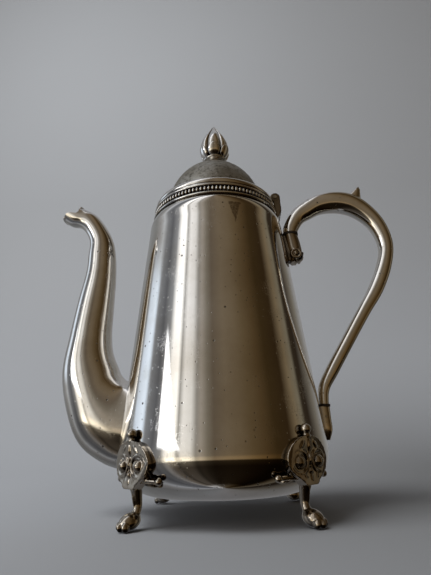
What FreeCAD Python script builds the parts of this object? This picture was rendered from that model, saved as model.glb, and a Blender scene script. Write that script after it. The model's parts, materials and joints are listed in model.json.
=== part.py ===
import FreeCAD, Part
import math
import os

# Footed, silver-plated coffee pot with a swan-neck spout, a loop handle and a
# hinged domed lid.  Millimetres.  The pot's axis is Z, the four feet stand on
# z = 0, the spout points to -X and the handle and lid hinge are at +X.

# Overall sizes
BELLY_R = 55.5          # widest radius, just above the heel
BELLY_Z = 32.5          # height of the widest radius
SHOULDER_ROLL = 4.2     # how far the rounded shoulder stands out from the neck
SHOULDER_Z = 159.0      # height of the top of the tapering wall
BASE_Z = 10.85          # underside of the pot above the table
BASE_R = 37.1           # radius of the flat underside
WALL = 1.2              # thickness of the drawn sheet
NECK_R = 37.4           # outside radius of the upright neck inside the band
SHOULDER_R = NECK_R + SHOULDER_ROLL   # radius at the top of the tapering wall
BAND_Z = SHOULDER_Z + 8.0    # lower edge of the beaded band
RIM_Z = SHOULDER_Z + 15.4    # top edge of the neck sheet

# Beaded band
BEAD_COUNT = 106
BEAD_H = 3.9
BEAD_OUT = 0.42         # how far each bead stands out from the row
FILLET_R = 0.75         # half the height of the lower fillet
BAND_OUT = 2.4          # how far the lower fillet stands out from the neck

# Lid
SEAT_T = 0.6            # flat ring the lid closes on
LID_GAP = 0.4           # air between the closed lid and the seat
LID_Z = RIM_Z + SEAT_T + LID_GAP
FLANGE_R = NECK_R + 1.0
FLANGE_H = 3.9
DOME_R = NECK_R - 6.7
DOME_H = 34.0
DOME_T = 1.1
BEZEL_H = 4.0
BEZEL_T = 1.0
BEZEL_CLEAR = 0.8

# Hinge
HINGE_X = NECK_R + 1.4
HINGE_Z = LID_Z + 5.2
KNUCKLE_R = 3.2
HINGE_W = 16.0
LID_KNUCKLE_W = 6.6
KNUCKLE_SIDE_GAP = 0.3
PIN_R = 1.1
PIN_RUNNING_CLEAR = 0.06
KNUCKLE_CLEAR = 0.45    # air round the knuckles where the lid rim is notched

# Finial, which leans a little off the lid's axis
FINIAL_SHIFT = 0.9
BUD_R = 9.9
BUD_LOBES = 6
STUD_R = 1.5

# Spout and handle, whose ovals are drawn beside a wall of these heights and follow the real one
DRAWN_BELLY_Z = 32.5
DRAWN_SHOULDER_Z = 159.0
SPOUT_WALL = 1.2
STRAINER_HOLE_R = 1.7
STRAINER_PITCH = 6.0
INSULATOR_T = 1.4
TENON_R = 1.8
CROSS_PIN_R = 0.7

# Feet
FOOT_ANGLES = {
    "foot_front_handle": -45.0,
    "foot_rear_handle": 45.0,
    "foot_rear_spout": 135.0,
    "foot_front_spout": -135.0,
}

V = FreeCAD.Vector
UP = V(0, 0, 1)
CENTRE = V(0, 0, 0)


def girth(z):
    """Outside radius of the pot's wall at height z."""
    if z <= BELLY_Z:
        return BELLY_R
    if z >= SHOULDER_Z:
        return SHOULDER_R
    share = (z - BELLY_Z) / (SHOULDER_Z - BELLY_Z)
    return BELLY_R + share * (SHOULDER_R - BELLY_R)


def rise(z):
    """Height on the real wall for one given on the drawn wall."""
    if z <= DRAWN_BELLY_Z:
        return z + BELLY_Z - DRAWN_BELLY_Z
    stretch = (SHOULDER_Z - BELLY_Z) / (DRAWN_SHOULDER_Z - DRAWN_BELLY_Z)
    return BELLY_Z + (z - DRAWN_BELLY_Z) * stretch


def ring_of(points):
    """Turn a closed outline of (radius, height) about Z.

    A step of four numbers is an arc: a point on the way, then its end.
    """
    edges = []
    here = V(points[0][0], 0, points[0][1])
    for step in list(points[1:]) + [points[0][:2]]:
        there = V(step[-2], 0, step[-1])
        if len(step) == 4:
            middle = V(step[0], 0, step[1])
            edges.append(Part.Arc(here, middle, there).toShape())
        elif here.distanceToPoint(there) > 1e-6:
            edges.append(Part.makeLine(here, there))
        here = there
    face = Part.Face(Part.Wire(edges))
    return face.revolve(CENTRE, UP, 360)


def plate_of(points, y0, y1):
    """Extrude a straight-sided outline of (x, z) from y0 to y1."""
    corners = [V(x, y0, z) for x, z in points]
    wire = Part.makePolygon(corners + [corners[0]])
    return Part.Face(wire).extrude(V(0, y1 - y0, 0))


def oval(middle, along, deep, half_along, half_deep):
    """Closed oval wire with its axes along two unit directions.

    It is drawn as two halves, so that a loft of ovals has one seam at each
    end of the first direction and doesn't twist.
    """
    halves = []
    for sign in (1, -1):
        points = []
        for k in range(9):
            turn = math.pi * k / 8
            back = along * (sign * half_along * math.cos(turn))
            points.append(middle - back + deep * (sign * half_deep * math.sin(turn)))
        curve = Part.BSplineCurve()
        curve.interpolate(Points=points, InitialTangent=deep * sign, FinalTangent=deep * -sign)
        halves.append(curve.toShape())
    return Part.Wire(halves)


def tube_through(sections, side, shrink=0.0):
    """Loft ovals; each is (near gap, near z, far gap, far z, half depth).

    Gaps are measured out from the pot's wall at that height, towards side.
    """
    wires = []
    for near_gap, near_z, far_gap, far_z, half_deep in sections:
        nz = rise(near_z)
        fz = rise(far_z)
        near = V(side * (girth(nz) + near_gap), 0, nz)
        reach = V(side * (girth(fz) + far_gap), 0, fz) - near
        middle = near + reach * 0.5
        half = reach.Length / 2 - shrink
        reach.normalize()
        wires.append(oval(middle, reach, V(0, 1, 0), half, half_deep - shrink))
    return Part.makeLoft(wires, True, False)


def level_loft(sections):
    """Loft level ovals; each is (x, z, half width along X, half width along Y)."""
    wires = []
    for x, z, half_x, half_y in sections:
        wires.append(oval(V(x, 0, z), V(1, 0, 0), V(0, 1, 0), half_x, half_y))
    return Part.makeLoft(wires, True, False)


def quarter_dome(radius, height, z):
    """Half an ellipsoid standing on height z."""
    points = []
    for k in range(9):
        turn = math.pi / 2 * k / 8
        points.append(V(radius * math.cos(turn), 0, z + height * math.sin(turn)))
    curve = Part.BSplineCurve()
    curve.interpolate(Points=points, InitialTangent=V(0, 0, 1), FinalTangent=V(-1, 0, 0))
    foot = V(0, 0, z)
    edges = [curve.toShape(), Part.makeLine(points[-1], foot), Part.makeLine(foot, points[0])]
    return Part.Face(Part.Wire(edges)).revolve(CENTRE, UP, 360)


def rod(start, end, radius):
    line = end - start
    return Part.makeCylinder(radius, line.Length, start, line)


def turned(shape, degrees):
    copy = shape.copy()
    copy.rotate(CENTRE, UP, degrees)
    return copy


def fused(shapes):
    whole = shapes[0].multiFuse(shapes[1:])
    return whole.removeSplitter()


nodes = {}

# ---------------------------------------------------------------- pot body

heel_reach = BELLY_R - BASE_R
heel_drop = BELLY_Z - BASE_Z
HEEL_MID = (BASE_R + heel_reach * 0.72, BELLY_Z - heel_drop * 0.70)
SHOULDER_MID = (SHOULDER_R - 0.75, SHOULDER_Z + 4.4)
LEDGE = (NECK_R + 1.3, BAND_Z)

body_blank = ring_of([
    (0, BASE_Z),
    (BASE_R, BASE_Z),
    (HEEL_MID[0], HEEL_MID[1], BELLY_R, BELLY_Z),
    (SHOULDER_R, SHOULDER_Z),
    (SHOULDER_MID[0], SHOULDER_MID[1], LEDGE[0], LEDGE[1]),
    (NECK_R, BAND_Z),
    (NECK_R, RIM_Z),
    (0, RIM_Z),
])
body_shell = ring_of([
    (BASE_R - 3.0, BASE_Z),
    (BASE_R, BASE_Z),
    (HEEL_MID[0], HEEL_MID[1], BELLY_R, BELLY_Z),
    (SHOULDER_R, SHOULDER_Z),
    (SHOULDER_MID[0], SHOULDER_MID[1], LEDGE[0], LEDGE[1]),
    (NECK_R, BAND_Z),
    (NECK_R, RIM_Z),
    (NECK_R - WALL, RIM_Z),
    (NECK_R - WALL, BAND_Z - 1.0),
    (SHOULDER_R - WALL, SHOULDER_Z),
    (BELLY_R - WALL, BELLY_Z),
    (HEEL_MID[0] - 0.72 * WALL, HEEL_MID[1] + 0.70 * WALL, BASE_R, BASE_Z + WALL),
    (BASE_R - 3.0, BASE_Z + WALL),
])

# Strainer: seven, six and six holes in three rows behind the spout
strainer_z = rise(46.0)
for row in (-1, 0, 1):
    across = 7 if row == 0 else 6
    for k in range(across):
        hole_y = (k - (across - 1) / 2) * STRAINER_PITCH * 0.72
        hole_z = strainer_z + row * STRAINER_PITCH
        start = V(-(BELLY_R + 4), hole_y, hole_z)
        body_shell = body_shell.cut(Part.makeCylinder(STRAINER_HOLE_R, 22, start, V(1, 0, 0)))
nodes["body_shell"] = body_shell

nodes["base_plate"] = ring_of([
    (0, BASE_Z + WALL),
    (BASE_R - 0.5, BASE_Z + WALL),
    (BASE_R - 0.5, BASE_Z + WALL + 1.0),
    (0, BASE_Z + WALL + 1.0),
])

# -------------------------------------------------------------- beaded band

BEAD_R = NECK_R + 1.55
bead_z = BAND_Z + 2.0
plain_ring = ring_of([
    (NECK_R, BAND_Z),
    (NECK_R + BAND_OUT - 0.8, BAND_Z),
    (NECK_R + BAND_OUT, BAND_Z + FILLET_R, NECK_R + BAND_OUT - 0.8, BAND_Z + 2 * FILLET_R),
    (NECK_R + 1.0, bead_z),
    (NECK_R + 1.0, bead_z + BEAD_H),
    (NECK_R + 1.7, bead_z + BEAD_H + 0.5, NECK_R + 1.0, bead_z + BEAD_H + 1.0),
    (NECK_R, RIM_Z),
])
scallops = []
step = 2 * math.pi / BEAD_COUNT
for k in range(BEAD_COUNT):
    a = k * step
    ends = [V(BEAD_R * math.cos(t), BEAD_R * math.sin(t), bead_z) for t in (a, a + step)]
    crown_r = BEAD_R + BEAD_OUT
    crown = V(crown_r * math.cos(a + step / 2), crown_r * math.sin(a + step / 2), bead_z)
    scallops.append(Part.Arc(ends[0], crown, ends[1]).toShape())
bead_row = Part.Face(Part.Wire(scallops)).extrude(V(0, 0, BEAD_H))
bead_core = Part.makeCylinder(NECK_R + 0.5, BEAD_H, V(0, 0, bead_z))
nodes["rim_band"] = plain_ring.fuse(bead_row.cut(bead_core)).removeSplitter()

SEAT_IN = NECK_R - WALL - 0.8
nodes["seat_ring"] = ring_of([
    (SEAT_IN, RIM_Z),
    (NECK_R + 0.7, RIM_Z),
    (NECK_R + 0.7, RIM_Z + SEAT_T),
    (SEAT_IN, RIM_Z + SEAT_T),
])

# -------------------------------------------------------------------- spout

# Ovals from the pouch at the wall up the swan neck to the beak
SPOUT = [
    (-8.0, 68.0, -8.0, 21.0, 17.5),
    (1.8, 69.5, 8.5, 25.2, 17.3),
    (7.0, 73.5, 24.4, 36.2, 16.8),
    (9.5, 78.0, 35.2, 55.0, 15.6),
    (14.2, 87.0, 41.4, 75.5, 13.8),
    (16.8, 98.0, 41.4, 97.0, 12.0),
    (18.2, 114.0, 40.6, 118.5, 10.4),
    (19.8, 133.0, 39.0, 137.5, 9.2),
    (22.0, 147.5, 39.8, 150.0, 8.4),
    (25.4, 159.5, 40.6, 159.5, 7.5),
    (30.2, 169.5, 44.0, 167.2, 6.9),
    (36.8, 178.6, 48.6, 171.4, 6.7),
    (43.0, 182.6, 54.2, 172.8, 6.9),
    (47.4, 185.0, 59.6, 176.2, 7.3),
]
lip = SPOUT[-1]
# The bore runs a little past the beak's edge so that the mouth is open
past_lip = (lip[0] + 2.2, lip[1] + 4.0, lip[2] + 2.2, lip[3] + 4.0, lip[4])
spout_outer = tube_through(SPOUT, -1)
spout_bore = tube_through(SPOUT + [past_lip], -1, SPOUT_WALL)
spout_skin = spout_outer.cut(body_blank)
nodes["spout_shell"] = spout_skin.cut(spout_bore.cut(body_blank))

# ------------------------------------------------------------------- handle

GRIP = [
    (0.8, 158.0, 10.0, 158.0, 4.6),
    (1.6, 162.6, 11.3, 160.8, 4.7),
    (6.2, 171.6, 14.4, 165.2, 5.0),
    (12.6, 177.9, 18.8, 167.6, 5.4),
    (23.2, 183.7, 25.8, 170.8, 6.0),
    (35.2, 185.8, 34.8, 171.4, 6.4),
    (47.2, 183.2, 43.0, 169.2, 6.3),
    (57.0, 175.2, 50.0, 164.2, 5.8),
    (64.9, 162.3, 55.2, 157.0, 5.2),
    (66.4, 147.0, 57.0, 145.8, 4.6),
    (61.2, 131.6, 53.4, 135.0, 4.1),
    (52.2, 116.4, 45.2, 120.8, 3.8),
    (41.2, 103.2, 35.6, 107.8, 3.6),
    (27.4, 85.6, 22.0, 90.0, 3.6),
    (14.8, 69.2, 9.2, 73.4, 3.6),
    (8.2, 60.6, 2.4, 62.8, 3.6),
    (6.0, 52.8, 0.6, 53.4, 3.4),
]


def handle_point(index, share=0.5):
    """Point on the handle's line at one of its ovals, between near and far edge."""
    near_gap, near_z, far_gap, far_z, depth = GRIP[index]
    nz = rise(near_z)
    fz = rise(far_z)
    near = V(girth(nz) + near_gap, 0, nz)
    far = V(girth(fz) + far_gap, 0, fz)
    return near + (far - near) * share


grip = tube_through(GRIP, 1)

# Thumb rest: a short horn let into the top of the loop, leaning outwards
horn_foot = handle_point(6, 0.12)
horn = level_loft([
    (horn_foot.x + 0.6, horn_foot.z - 1.5, 5.6, 3.4),
    (horn_foot.x + 2.8, horn_foot.z + 2.4, 3.9, 3.0),
    (horn_foot.x + 4.6, horn_foot.z + 5.2, 2.4, 2.3),
    (horn_foot.x + 5.4, horn_foot.z + 7.4, 1.0, 0.9),
])
nodes["thumb_rest"] = horn
grip = grip.cut(horn)


# Upper end: insulating disc, then a socket that ends in a small scroll
top_end = handle_point(0)
top_ins_z = top_end.z - INSULATOR_T


def disc(middle, half_x, half_y, thick):
    curve = Part.Ellipse(middle + V(half_x, 0, 0), middle + V(0, half_y, 0), middle)
    return Part.Face(Part.Wire([curve.toShape()])).extrude(V(0, 0, thick))


upper_insulator = disc(V(top_end.x, 0, top_ins_z), 4.9, 4.8, INSULATOR_T)
scroll = V(top_end.x + 1.2, 0, top_ins_z - 14.6)
socket_tube = level_loft([
    (top_end.x, top_ins_z, 4.6, 4.5),
    (top_end.x + 0.9, top_ins_z - 7.0, 4.9, 4.9),
    (top_end.x + 1.4, top_ins_z - 13.0, 4.4, 5.0),
])
scroll_roll = Part.makeCylinder(4.3, 11.0, scroll - V(0, 5.5, 0), V(0, 1, 0))
pad_z0 = top_ins_z - 17.5
pad = Part.makeBox(
    top_end.x - girth(pad_z0) + 6.0, 7.0, 16.0,
    V(girth(pad_z0) - 6.0, -3.5, pad_z0),
)
upper_socket = fused([socket_tube, scroll_roll, pad]).cut(body_blank)

# Lower end: insulating disc, then a tail that lies down the wall
low_end = handle_point(len(GRIP) - 1)
low_ins_z = low_end.z - INSULATOR_T
low_cut = Part.makeBox(60, 30, 60, V(low_end.x - 30, -15, low_end.z - 60))
grip = grip.cut(low_cut)
lower_insulator = disc(V(low_end.x, 0, low_ins_z), 3.4, 3.3, INSULATOR_T)
tail = []
for z, far_gap, half_y in (
    (low_ins_z, 6.2, 3.2),
    (rise(45.0), 5.6, 3.0),
    (rise(39.5), 5.0, 2.5),
    (rise(34.4), 2.6, 1.3),
):
    tail.append((girth(z) + (far_gap - 4.0) / 2, z, (far_gap + 4.0) / 2, half_y))
lower_socket = level_loft(tail).cut(body_blank)

# Tenons run through the insulators and are held by cross pins
upper_tenon = rod(V(top_end.x, 0, top_ins_z - 9), V(top_end.x, 0, top_end.z + 6), TENON_R)
lower_tenon = rod(V(low_end.x, 0, low_ins_z - 7), V(low_end.x, 0, low_end.z + 8), TENON_R)
pin_spots = (
    (top_end.x + 0.8, top_ins_z - 7.0, 4.8),
    (top_end.x + 0.6, top_end.z + 4.2, 4.6),
    (low_end.x, low_ins_z - 5.2, 3.0),
    (low_end.x + 0.3, low_end.z + 5.6, 3.5),
)
pins = []
for x, z, half in pin_spots:
    pins.append(rod(V(x, -half, z), V(x, half, z), CROSS_PIN_R))
drilled = Part.Compound(pins)
both_tenons = Part.Compound([upper_tenon, lower_tenon])
nodes["handle_grip"] = grip.cut(both_tenons).cut(drilled)
nodes["upper_socket"] = upper_socket.cut(upper_tenon).cut(drilled)
nodes["lower_socket"] = lower_socket.cut(lower_tenon).cut(drilled)
nodes["upper_insulator"] = upper_insulator.cut(upper_tenon).cut(body_blank)
nodes["lower_insulator"] = lower_insulator.cut(lower_tenon).cut(body_blank)
nodes["upper_tenon"] = upper_tenon.cut(drilled)
nodes["lower_tenon"] = lower_tenon.cut(drilled)
nodes["handle_pins"] = drilled

# --------------------------------------------------------------------- feet

# Cast foot, drawn at +X and turned to its corner afterwards: a pierced-look
# shield against the wall, two rosettes, a ball on top, side arms and a leg
# that ends in a paw.
shield_points = [
    (0.0, 37.4), (6.0, 36.4), (11.2, 32.6), (13.3, 27.6), (11.4, 22.6), (6.4, 19.2), (3.6, 16.8),
    (-3.6, 16.8), (-6.4, 19.2), (-11.4, 22.6), (-13.3, 27.6), (-11.2, 32.6), (-6.0, 36.4),
]
shield_curve = Part.BSplineCurve()
shield_curve.interpolate(Points=[V(BELLY_R - 12, t, z) for t, z in shield_points], PeriodicFlag=True)
shield = Part.Face(Part.Wire([shield_curve.toShape()])).extrude(V(24, 0, 0))
shield_skin = ring_of([
    (BELLY_R - 10, 15.0),
    (BELLY_R - 2.6, 15.0),
    (BELLY_R + 1.6, 24.0, BELLY_R + 1.4, 33.0),
    (BELLY_R + 0.6, 40.0),
    (BELLY_R - 10, 40.0),
])
foot_parts = [shield.common(shield_skin)]
arm_balls = []
for side in (-1, 1):
    centre = V(BELLY_R - 1.2, side * 6.4, 26.4)
    foot_parts.append(Part.makeCylinder(4.3, 3.1, centre, V(1, side * 0.10, 0)))
    foot_parts.append(Part.makeSphere(2.3, centre + V(2.6, side * 0.3, 0)))
    arm_turn = math.radians(17.0)
    ball_out = BELLY_R - 1.3
    ball = V(ball_out * math.cos(arm_turn), side * ball_out * math.sin(arm_turn), 20.2)
    arm_balls.append(Part.makeSphere(1.6, ball))
    foot_parts.append(rod(V(BELLY_R - 1.6, side * 5.0, 19.6), ball, 1.05))
foot_parts.append(Part.makeSphere(2.7, V(girth(39.8) + 1.5, 0, 39.6)))
foot_parts.append(level_loft([
    (BELLY_R - 2.2, 21.0, 3.2, 5.0),
    (BELLY_R - 2.9, 15.5, 2.6, 3.1),
    (BELLY_R - 3.4, 9.8, 2.1, 2.0),
    (BELLY_R - 1.8, 6.0, 2.6, 2.6),
    (BELLY_R + 0.4, 3.2, 3.2, 3.2),
]))
paw = quarter_dome(4.0, 5.8, 0)
paw = paw.fuse(paw.mirror(CENTRE, UP))
paw.rotate(CENTRE, V(0, 1, 0), 90)
paw.translate(V(BELLY_R + 1.0, 0, 3.3))
foot_parts.append(paw)
foot = foot_parts[0]
for piece in foot_parts[1:]:
    foot = foot.fuse(piece)
foot = foot.cut(body_blank)
foot = foot.cut(Part.makeBox(60, 60, 20, V(BELLY_R - 30, -30, -20)))
for ball in arm_balls:
    foot = foot.fuse(ball)
for name, degrees in FOOT_ANGLES.items():
    nodes[name] = turned(foot, degrees)

# ---------------------------------------------------------------------- lid

flange = ring_of([
    (DOME_R - DOME_T, LID_Z),
    (FLANGE_R - 0.2, LID_Z),
    (FLANGE_R, LID_Z + 0.5),
    (FLANGE_R - 0.6, LID_Z + 2.6, FLANGE_R - 2.6, LID_Z + FLANGE_H),
    (DOME_R + 1.6, LID_Z + FLANGE_H + 0.9),
    (DOME_R, LID_Z + FLANGE_H + 0.6),
    (DOME_R, LID_Z + 1.6),
    (DOME_R - DOME_T, LID_Z + 1.6),
])
notch = Part.makeCylinder(
    KNUCKLE_R + KNUCKLE_CLEAR, HINGE_W + 1.0,
    V(HINGE_X, -(HINGE_W + 1.0) / 2, HINGE_Z), V(0, 1, 0),
)
flange = flange.cut(notch)
nodes["lid_flange"] = flange

DOME_Z = LID_Z + 1.6

dome_blank = quarter_dome(DOME_R, DOME_H, DOME_Z)
dome = dome_blank.cut(quarter_dome(DOME_R - DOME_T, DOME_H - DOME_T, DOME_Z))
finial_axis = V(FINIAL_SHIFT, 0, 0)
DOME_TOP = DOME_Z + DOME_H
stud = Part.makeCylinder(STUD_R, 17.5, finial_axis + V(0, 0, DOME_TOP - 5.6))
nodes["lid_dome"] = dome.cut(stud)

BEZEL_R = SEAT_IN - BEZEL_CLEAR
nodes["lid_bezel"] = ring_of([
    (BEZEL_R - BEZEL_T, LID_Z - BEZEL_H),
    (BEZEL_R, LID_Z - BEZEL_H),
    (BEZEL_R, LID_Z),
    (BEZEL_R - BEZEL_T, LID_Z),
])

# ------------------------------------------------------------------- finial

collar = ring_of([
    (0, DOME_TOP - 2.5),
    (6.6, DOME_TOP - 2.5),
    (6.3, DOME_TOP + 0.3),
    (4.9, DOME_TOP + 2.0, 5.6, DOME_TOP + 3.9),
    (7.3, DOME_TOP + 4.2),
    (7.9, DOME_TOP + 5.0, 7.3, DOME_TOP + 5.8),
    (0, DOME_TOP + 5.8),
])
collar.translate(finial_axis)
nodes["finial_collar"] = collar.cut(dome_blank).cut(stud)

calyx_z = DOME_TOP + 5.8
calyx = ring_of([
    (0, calyx_z),
    (6.3, calyx_z),
    (8.9, calyx_z + 2.7, BUD_R + 0.35, calyx_z + 6.6),
    (BUD_R - 0.4, calyx_z + 8.8),
    (0, calyx_z + 8.8),
])
calyx.translate(finial_axis)


def lobed_wire(radius, z):
    edges = []
    width = 2 * math.pi / BUD_LOBES
    for k in range(BUD_LOBES):
        a = k * width
        ends = [V(0.93 * radius * math.cos(t), 0.93 * radius * math.sin(t), z) for t in (a, a + width)]
        crown = V(radius * math.cos(a + width / 2), radius * math.sin(a + width / 2), z)
        edges.append(Part.Arc(ends[0], crown, ends[1]).toShape())
    wire = Part.Wire(edges)
    wire.translate(finial_axis)
    return wire


bud_levels = (
    (0.50, 0.0), (0.80, 2.9), (0.985, 7.4), (0.95, 12.0), (0.76, 17.0), (0.48, 21.6), (0.20, 26.2), (0.05, 28.2),
)
bud = Part.makeLoft([lobed_wire(BUD_R * r, calyx_z + z) for r, z in bud_levels], True, False)
calyx = calyx.cut(bud)
for k in range(BUD_LOBES):
    a = 2 * math.pi * k / BUD_LOBES
    tip = V(BUD_R * math.cos(a), BUD_R * math.sin(a), calyx_z + 9.4) + finial_axis
    calyx = calyx.cut(Part.makeSphere(3.3, tip))
nodes["finial_calyx"] = calyx.cut(stud)
nodes["finial_bud"] = bud.cut(stud)
nodes["finial_stud"] = stud

washer_z = DOME_Z + (DOME_H - DOME_T) * math.sqrt(1 - (5.0 / (DOME_R - DOME_T)) ** 2) - 1.0
nodes["finial_washer"] = Part.makeCylinder(4.0, 1.0, finial_axis + V(0, 0, washer_z)).cut(stud)
corners = []
for k in range(7):
    a = math.pi / 3 * k
    corners.append(finial_axis + V(3.3 * math.cos(a), 3.3 * math.sin(a), washer_z - 2.4))
nut = Part.Face(Part.makePolygon(corners)).extrude(V(0, 0, 2.4))
nodes["finial_nut"] = nut.cut(stud)

# -------------------------------------------------------------------- hinge

axle = V(HINGE_X, 0, HINGE_Z)
half_w = HINGE_W / 2
inner_w = LID_KNUCKLE_W / 2
outer_face = HINGE_X + KNUCKLE_R
band_clear = ring_of([
    (0, BAND_Z - 30),
    (NECK_R + BAND_OUT, BAND_Z - 30),
    (NECK_R + BAND_OUT, BAND_Z + 2 * FILLET_R),
    (BEAD_R + BEAD_OUT, BAND_Z + 2 * FILLET_R),
    (BEAD_R + BEAD_OUT, RIM_Z),
    (0, RIM_Z),
])
bracket = plate_of(
    [
        (NECK_R - 2.0, BAND_Z + 0.6),
        (NECK_R + 2.9, BAND_Z + 0.6),
        (outer_face - 0.2, HINGE_Z - 4.6),
        (outer_face, HINGE_Z),
        (HINGE_X, HINGE_Z),
        (FLANGE_R + 0.3, HINGE_Z - KNUCKLE_R),
        (FLANGE_R + 0.3, RIM_Z),
        (NECK_R - 2.0, RIM_Z),
    ],
    -half_w, half_w,
)
bracket = bracket.cut(band_clear)
knuckle_bar = Part.makeCylinder(KNUCKLE_R, HINGE_W, axle - V(0, half_w, 0), V(0, 1, 0))
middle_room = Part.makeCylinder(
    KNUCKLE_R + 0.5, LID_KNUCKLE_W + 2 * KNUCKLE_SIDE_GAP,
    axle - V(0, inner_w + KNUCKLE_SIDE_GAP, 0), V(0, 1, 0),
)
body_leaf = bracket.fuse(knuckle_bar).cut(middle_room)
shank = rod(axle - V(0, half_w + 0.5, 0), axle + V(0, half_w + 0.5, 0), PIN_R)
nodes["hinge_body_leaf"] = body_leaf.cut(shank)
lid_knuckle = Part.makeCylinder(KNUCKLE_R, LID_KNUCKLE_W, axle - V(0, inner_w, 0), V(0, 1, 0))
tab = plate_of(
    [
        (HINGE_X - 6.6, LID_Z + FLANGE_H - 0.4),
        (HINGE_X - 3.4, LID_Z + 1.4),
        (HINGE_X - 1.2, HINGE_Z - KNUCKLE_R + 0.2),
        (HINGE_X, HINGE_Z),
        (HINGE_X - 0.8, HINGE_Z + KNUCKLE_R - 0.2),
        (HINGE_X - 6.6, LID_Z + FLANGE_H + 1.4),
    ],
    -inner_w, inner_w,
)
lid_leaf = tab.cut(flange).fuse(lid_knuckle)
bore = rod(axle - V(0, half_w, 0), axle + V(0, half_w, 0), PIN_R + PIN_RUNNING_CLEAR)
nodes["hinge_lid_leaf"] = lid_leaf.cut(bore)
nodes["hinge_pin"] = shank

# ------------------------------------------------------------------- output

os.makedirs("parts", exist_ok=True)
for name, shape in nodes.items():
    shape.exportStep("parts/" + name + ".step")
    box = shape.BoundBox
    print(name, len(shape.Solids), shape.isValid(), round(shape.Volume, 1),
          [round(v, 1) for v in (box.XMin, box.YMin, box.ZMin, box.XMax, box.YMax, box.ZMax)])
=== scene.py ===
import json
import math

import bmesh
import bpy
from mathutils import Matrix, Vector


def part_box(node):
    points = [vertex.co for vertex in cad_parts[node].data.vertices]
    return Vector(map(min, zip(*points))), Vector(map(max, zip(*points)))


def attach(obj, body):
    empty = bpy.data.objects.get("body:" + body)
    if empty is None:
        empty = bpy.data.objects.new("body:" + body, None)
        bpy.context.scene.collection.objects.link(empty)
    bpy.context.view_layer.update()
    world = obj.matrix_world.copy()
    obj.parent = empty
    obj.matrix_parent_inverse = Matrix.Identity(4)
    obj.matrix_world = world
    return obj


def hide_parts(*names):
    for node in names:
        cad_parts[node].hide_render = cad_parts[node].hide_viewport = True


# A footed, silver-plated coffee pot: swan-neck spout towards -X, loop handle and
# lid hinge at +X, four cast feet on z = 0.  Blender works in metres; the sizes
# below are millimetres, and MM turns them into metres.

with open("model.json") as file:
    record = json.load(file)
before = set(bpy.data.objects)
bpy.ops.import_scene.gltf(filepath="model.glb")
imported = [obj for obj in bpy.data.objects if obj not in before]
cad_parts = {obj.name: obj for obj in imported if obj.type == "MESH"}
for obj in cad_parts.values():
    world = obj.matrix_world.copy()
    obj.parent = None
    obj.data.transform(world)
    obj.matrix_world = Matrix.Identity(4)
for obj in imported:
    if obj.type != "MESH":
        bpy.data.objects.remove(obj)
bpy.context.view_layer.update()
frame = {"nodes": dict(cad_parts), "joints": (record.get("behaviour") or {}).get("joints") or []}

MM = 0.001

# ------------------------------------------------------------------ main sizes


def read_mm(metres):
    """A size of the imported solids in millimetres, to the hundredth."""
    return round(metres / MM, 2)


body_low, body_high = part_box("body_shell")
flange_low, flange_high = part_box("lid_flange")
dome_low, dome_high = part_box("lid_dome")
leaf_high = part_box("hinge_body_leaf")[1]
hinge_place = frame["joints"][0]["pos_m"]

BASE_Z = read_mm(body_low.z)
BAND_Z = read_mm(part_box("rim_band")[0].z)
RIM_Z = read_mm(body_high.z)
LID_Z = read_mm(flange_low.z)
FLANGE_R = read_mm(flange_high.x)
DOME_R = read_mm(dome_high.x)
DOME_Z = read_mm(dome_low.z)
DOME_TOP = read_mm(dome_high.z)
DOME_H = DOME_TOP - DOME_Z
BUD_Z = read_mm(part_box("finial_bud")[0].z)
HINGE_X = read_mm(hinge_place[0])
HINGE_Z = read_mm(hinge_place[2])
HINGE_HALF = read_mm(leaf_high.y)
KNUCKLE_R = round(read_mm(leaf_high.x) - HINGE_X, 2)

# Sizes that no box shows
BELLY_R = 55.5
BELLY_Z = 32.5
SHOULDER_R = 41.6
SHOULDER_Z = 159.0
BASE_R = 37.1
WALL = 1.2
NECK_R = 37.4
DOME_WALL = 1.1
FINIAL_SHIFT = 0.9


def girth(z):
    """Outside radius of the pot's tapering wall at height z."""
    if z <= BELLY_Z:
        return BELLY_R
    share = min(1.0, (z - BELLY_Z) / (SHOULDER_Z - BELLY_Z))
    return BELLY_R + share * (SHOULDER_R - BELLY_R)


def place(x, y, z):
    """A point in metres from millimetres."""
    return Vector((x, y, z)) * MM


def arc(start, middle, end, steps=8):
    """Points on the arc through three (radius, height) points, without the first."""
    (ax, ay), (bx, by), (cx, cy) = start, middle, end
    d = 2 * (ax * (by - cy) + bx * (cy - ay) + cx * (ay - by))
    a2, b2, c2 = ax * ax + ay * ay, bx * bx + by * by, cx * cx + cy * cy
    ux = (a2 * (by - cy) + b2 * (cy - ay) + c2 * (ay - by)) / d
    uy = (a2 * (cx - bx) + b2 * (ax - cx) + c2 * (bx - ax)) / d
    radius = math.hypot(ax - ux, ay - uy)
    first = math.atan2(ay - uy, ax - ux)
    via = math.atan2(by - uy, bx - ux)
    last = math.atan2(cy - uy, cx - ux)
    turn = (last - first) % (2 * math.pi)
    if (via - first) % (2 * math.pi) > turn:
        turn -= 2 * math.pi
    points = []
    for k in range(1, steps + 1):
        a = first + turn * k / steps
        points.append((ux + radius * math.cos(a), uy + radius * math.sin(a)))
    return points


def line(start, end, steps):
    """Evenly spaced points on a straight run, without the first."""
    points = []
    for k in range(1, steps + 1):
        s = k / steps
        points.append((start[0] + (end[0] - start[0]) * s, start[1] + (end[1] - start[1]) * s))
    return points


# ------------------------------------------------------------- modelling tools

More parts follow.
